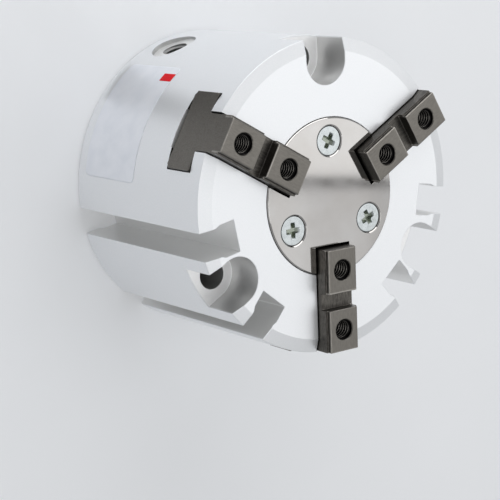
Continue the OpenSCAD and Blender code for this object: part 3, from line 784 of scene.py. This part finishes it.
def set_floor(tone):
    """A pale painted floor just under the gripper. What it adds for the eye lights nothing."""
    corners = [(x * FLOOR_HALF, y * FLOOR_HALF, FLOOR_LEVEL)
               for x, y in ((-1, -1), (1, -1), (1, 1), (-1, 1))]
    floor = mesh_object("floor", corners, [(0, 1, 2, 3)], smooth=False)
    material, tree, surface, place = new_material("Pale painted floor", Roughness=0.7)
    paint = mottling(tree, place, 30.0, 2.0, tone, linear("#e3e5e8"))[1]
    feed(tree, surface, "Base Color", paint)
    surface.inputs["Emission Color"].default_value = linear("#ffffff")
    feed(tree, surface, "Emission Strength", seen_ray(tree, *FLOOR_GLOW))
    floor.data.materials.append(material)


def set_camera(lens):
    """The camera, which looks down on the gripper's front from the left."""
    camera = bpy.data.objects.new("camera", bpy.data.cameras.new("camera"))
    camera.data.lens = lens
    camera.data.sensor_width = 36.0
    camera.data.clip_start = 0.01
    camera.matrix_world = placing(CAMERA_AXES, Vector(CAMERA_PLACE) * MM)
    bpy.context.scene.collection.objects.link(camera)
    bpy.context.scene.camera = camera


def add_lamp(name, matrix, width, height, radiance):
    """A rectangular lamp that shines down the Z axis of its matrix, with the given radiance."""
    light = bpy.data.lights.new(name, "AREA")
    light.shape = "RECTANGLE"
    light.size, light.size_y = width, height
    light.energy = radiance * math.pi * width * height
    lamp = bpy.data.objects.new(name, light)
    lamp.matrix_world = matrix
    bpy.context.scene.collection.objects.link(lamp)


def add_card(name, corners):
    """A matt grey card that is seen only as a reflection."""
    card = mesh_object(name, corners, [(0, 1, 2, 3)], smooth=False)
    grey = new_material("Matt grey card", Base_Color=linear(CARD_TONE), Roughness=0.9)[0]
    card.data.materials.append(grey)
    card.visible_camera = False
    card.visible_diffuse = False
    card.visible_shadow = False


def set_lamps():
    """The soft lamps, each of which faces the gripper."""
    for name, turn, rise, far, width, height, radiance in LAMPS:
        turn, rise = math.radians(turn), math.radians(rise)
        level = math.cos(rise)
        away = Vector((math.cos(turn) * level, math.sin(turn) * level, math.sin(rise)))
        facing = away.to_track_quat("Z", "Y").to_matrix().to_4x4()
        add_lamp(name, Matrix.Translation(away * far) @ facing, width, height, radiance)


def set_front():
    """The boxes that the polished plate mirrors, and the card in the gap between them."""
    right = Vector(CAMERA_AXES[0])
    right.z = -right.z                              # the camera's axis as the front face mirrors it
    up = FRONT.cross(right).normalized()
    middle = Vector(GAP_SHOWS) * MM + FRONT * FRONT_DISTANCE
    for name, left_end, right_end, foot, head, radiance in FRONT_BOXES:
        place = middle + right * 0.5 * (left_end + right_end) + up * 0.5 * (foot + head)
        matrix = placing((right, up, right.cross(up)), place)
        add_lamp(name, matrix, right_end - left_end, head - foot, radiance)
    reach, rise = right * 0.5 * GAP_CARD[0], up * 0.5 * GAP_CARD[1]
    add_card("front_card", [middle - reach - rise, middle + reach - rise,
                            middle + reach + rise, middle - reach + rise])


def set_streak():
    """The card on the floor that the side mirrors as a soft streak."""
    turn, width, near, far = STREAK_CARD
    turned = Matrix.Rotation(math.radians(turn), 4, "Z")
    ends = ((near, -0.5 * width), (far, -0.5 * width), (far, 0.5 * width), (near, 0.5 * width))
    add_card("streak_card", [turned @ Vector((x, y, CARD_LEVEL)) for x, y in ends])


def set_world():
    """A plain pale world, a little brighter where it is seen than it lights."""
    world = bpy.data.worlds.new("studio")
    bpy.context.scene.world = world
    world.use_nodes = True
    tree = world.node_tree
    back = tree.nodes["Background"]
    back.inputs["Color"].default_value = linear("#eceef0")
    glow = seen_ray(tree, *WORLD_GLOW)
    feed(tree, back, "Strength", add(tree, "Math", (glow, WORLD_LIGHT), operation="ADD"))


# -------------------------------- operators


class GripperOperator(bpy.types.Operator):
    """Shared options of the gripper's operators."""
    bl_options = {"REGISTER", "UNDO"}


class DressBody(GripperOperator):
    """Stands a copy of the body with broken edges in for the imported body."""
    bl_idname = "gripper.dress_body"
    bl_label = "Body"

    def execute(self, context):
        settings = context.scene.gripper_body
        piece = merged_copy("body", "anodised_body")
        break_edges(piece, settings.edge)
        keep_rim(piece, FRONT_HEIGHT)
        finish_piece(piece, anodised_aluminium(settings.outside, settings.machined),
                     "housing", "body_anodised", "body")
        return {"FINISHED"}


class DressEndPlate(GripperOperator):
    """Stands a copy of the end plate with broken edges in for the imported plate."""
    bl_idname = "gripper.dress_end_plate"
    bl_label = "End plate"

    def execute(self, context):
        settings = context.scene.gripper_plate
        piece = merged_copy("end_plate", "polished_end_plate")
        break_edges(piece, settings.edge)
        low, high = (np.array(corner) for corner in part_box("plate_screw_1"))
        screw_r = float(np.linalg.norm(0.5 * (low + high)[:2]))
        head_r = 0.5 * float(high[0] - low[0]) + 0.06 * MM
        finish_piece(piece, polished_stainless(settings.steel, screw_r, head_r),
                     "housing", "plate_stainless", "end_plate")
        return {"FINISHED"}


class MakeScrews(GripperOperator):
    """Makes the three countersunk screws with rounded cross recesses."""
    bl_idname = "gripper.make_screws"
    bl_label = "Plate screws"

    def execute(self, context):
        settings = context.scene.gripper_plate
        zinc = bright_zinc(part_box("plate_screw_1")[1][2])
        core_r = 1.25 * MM
        for number, turn in enumerate(SCREW_TURNS, 1):
            node = f"plate_screw_{number}"
            low, high = (np.array(corner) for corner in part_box(node))
            head_r = 0.5 * (high[0] - low[0]) - settings.gap
            piece = screw_surface(f"countersunk_screw_{number}", 0.5 * (low + high), high[2], head_r,
                                  core_r, low[2], settings, math.radians(turn))
            finish_piece(piece, zinc, "housing", "screw_zinc", node)
        return {"FINISHED"}


class DressJaws(GripperOperator):
    """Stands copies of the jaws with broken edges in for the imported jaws."""
    bl_idname = "gripper.dress_jaws"
    bl_label = "Jaws"

    def execute(self, context):
        settings = context.scene.gripper_jaws
        for number in (1, 2, 3):
            pad = mount(f"jaw_{number}_pad")["pos_m"]
            piece = merged_copy(f"jaw_{number}", f"ground_jaw_{number}")
            break_edges(piece, settings.edge)
            steel = ground_steel(math.atan2(pad[1], pad[0]), settings.ground, settings.flank)
            finish_piece(piece, steel, f"jaw_{number}", "jaw_steel", f"jaw_{number}")
        return {"FINISHED"}


class CutThreads(GripperOperator):
    """Makes the ridges of the threads in the jaws and in the air ports. Each takes the material of the
    piece that it is cut in."""
    bl_idname = "gripper.cut_threads"
    bl_label = "Threads"

    def execute(self, context):
        settings = context.scene.gripper_threads
        jaw_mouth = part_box("jaw_1")[1][2] - 0.3 * MM
        for spot in frame["record"]["mounts"]:
            if spot["kind"] != "threaded_hole":
                continue
            name = "thread_in_" + spot["name"].removesuffix("_thread")
            radius = spot["dims"]["r_mm"] * MM
            where, out = np.array(spot["pos_m"]), np.array(spot["axis"])
            if spot["name"].startswith("jaw"):
                number = spot["name"].split("_")[1]
                carrier, body, slot = f"ground_jaw_{number}", f"jaw_{number}", "jaw_steel"
                mouth = np.array([where[0], where[1], jaw_mouth])
                pitch = settings.jaw_pitch
                depth, height = (value * MM for value in JAW_THREAD)
            else:
                carrier, body, slot = "anodised_body", "housing", "body_anodised"
                mouth = where + out * (settings.port_mouth - np.linalg.norm(where[:2]))
                pitch = settings.port_pitch
                depth, height = (value * MM for value in PORT_THREAD)
            ridge = thread_ridge(name, mouth, out, radius, radius - height, pitch, depth, settings.steps)
            finish_piece(ridge, bpy.data.objects[carrier].data.materials[0], body, slot)
        return {"FINISHED"}


class MakeLabel(GripperOperator):
    """Makes the bent label and the mark printed on it; the rest of the label is left bare."""
    bl_idname = "gripper.make_label"
    bl_label = "Label"

    def execute(self, context):
        settings = context.scene.gripper_label
        low, high = (np.array(corner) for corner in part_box("label"))
        high[2] += 0.3 * MM                         # the film overhangs its solid a little at the front
        thickness = 0.12 * MM
        outer = BODY_RADIUS + thickness
        middle = settings.start + 0.5 * settings.sweep
        film = bent_patch("label_film", outer, middle, 0.5 * settings.sweep * BODY_RADIUS,
                          low[2], high[2], settings.corner)
        thicken(film, thickness - 0.01 * MM)
        finish_piece(film, label_film(settings.film), "housing", "label_film", "label")

        # the mark runs down from the label's front edge, a short way from the end where it begins
        middle = settings.start + math.radians(5.4)
        half_width, corner = 1.0 * MM, 0.08 * MM
        foot, head = high[2] - 3.9 * MM, high[2] - 0.02 * MM
        mark = bent_patch("label_mark", outer + 0.015 * MM, middle, half_width, foot, head, corner, 9, 9)
        thicken(mark, 0.014 * MM)
        finish_piece(mark, printed_ink(settings.mark), "housing", "label_film")
        return {"FINISHED"}


class DressRear(GripperOperator):
    """Stands copies with broken edges in for the rear cap and its retaining ring."""
    bl_idname = "gripper.dress_rear"
    bl_label = "Rear cap and ring"

    def execute(self, context):
        edge = 0.1 * MM
        cap = merged_copy("rear_cap", "turned_rear_cap")
        break_edges(cap, edge)
        finish_piece(cap, turned_aluminium("Turned aluminium of the cap", linear("#c9ccd0"), 0.35),
                     "housing", "cap_aluminium", "rear_cap")
        ring = merged_copy("retaining_ring", "stamped_retaining_ring")
        break_edges(ring, edge)
        finish_piece(ring, phosphated_spring_steel(), "housing", "ring_spring_steel", "retaining_ring")
        return {"FINISHED"}


class DressDrive(GripperOperator):
    """Gives the parts inside the gripper their materials."""
    bl_idname = "gripper.dress_drive"
    bl_label = "Drive and seals"

    def execute(self, context):
        rubber = nitrile_rubber()
        finishes = {
            "wedge_cam": cam_steel(), "cam_bolt": black_oxide(), "wear_ring": filled_resin(),
            "piston": turned_aluminium("Turned aluminium of the piston", linear("#b9bfca"), 0.4),
            "magnet_ring": bonded_magnet(), "piston_seal": rubber, "stem_seal": rubber,
            "rod_seal": rubber, "cap_seal": rubber,
        }
        for node, material in finishes.items():
            for slot in frame["nodes"][node].material_slots:
                slot.link = "OBJECT"
                slot.material = material
        return {"FINISHED"}


class SetStage(GripperOperator):
    """Sets the floor, the camera, the lamps and the world."""
    bl_idname = "gripper.set_stage"
    bl_label = "Stage"

    def execute(self, context):
        settings = context.scene.gripper_stage
        set_floor(settings.floor)
        set_camera(settings.lens)
        set_lamps()
        set_front()
        set_streak()
        set_world()
        context.scene.view_settings.view_transform = "Standard"
        return {"FINISHED"}


class GripperPanel(bpy.types.Panel):
    """Lists the steps that dress the gripper."""
    bl_idname = "VIEW3D_PT_gripper"
    bl_label = "Three jaw gripper"
    bl_space_type = "VIEW_3D"
    bl_region_type = "UI"
    bl_category = "Gripper"

    def draw(self, context):
        for step in STEPS:
            self.layout.operator(step.bl_idname, text=step.bl_label)
        for name in SETTINGS:
            group = getattr(context.scene, name)
            box = self.layout.box()
            for field in group.bl_rna.properties.keys():
                if field not in ("rna_type", "name"):
                    box.prop(group, field)


STEPS = (DressBody, DressEndPlate, MakeScrews, DressJaws, CutThreads, MakeLabel, DressRear, DressDrive,
         SetStage)


def register():
    """Makes the settings, the steps and the panel known to Blender."""
    for group in SETTINGS.values():
        bpy.utils.register_class(group)
    for name, group in SETTINGS.items():
        setattr(bpy.types.Scene, name, PointerProperty(type=group))
    for step in STEPS + (GripperPanel,):
        bpy.utils.register_class(step)


def unregister():
    """Takes them away again."""
    for step in (GripperPanel,) + STEPS[::-1]:
        bpy.utils.unregister_class(step)
    for name, group in SETTINGS.items():
        delattr(bpy.types.Scene, name)
        bpy.utils.unregister_class(group)


def main():
    """Takes every step in order."""
    register()
    for step in STEPS:
        family, name = step.bl_idname.split(".")
        if getattr(getattr(bpy.ops, family), name)() != {"FINISHED"}:
            raise RuntimeError("the step " + step.bl_label + " didn't finish")


if __name__ == "__main__":
    main()
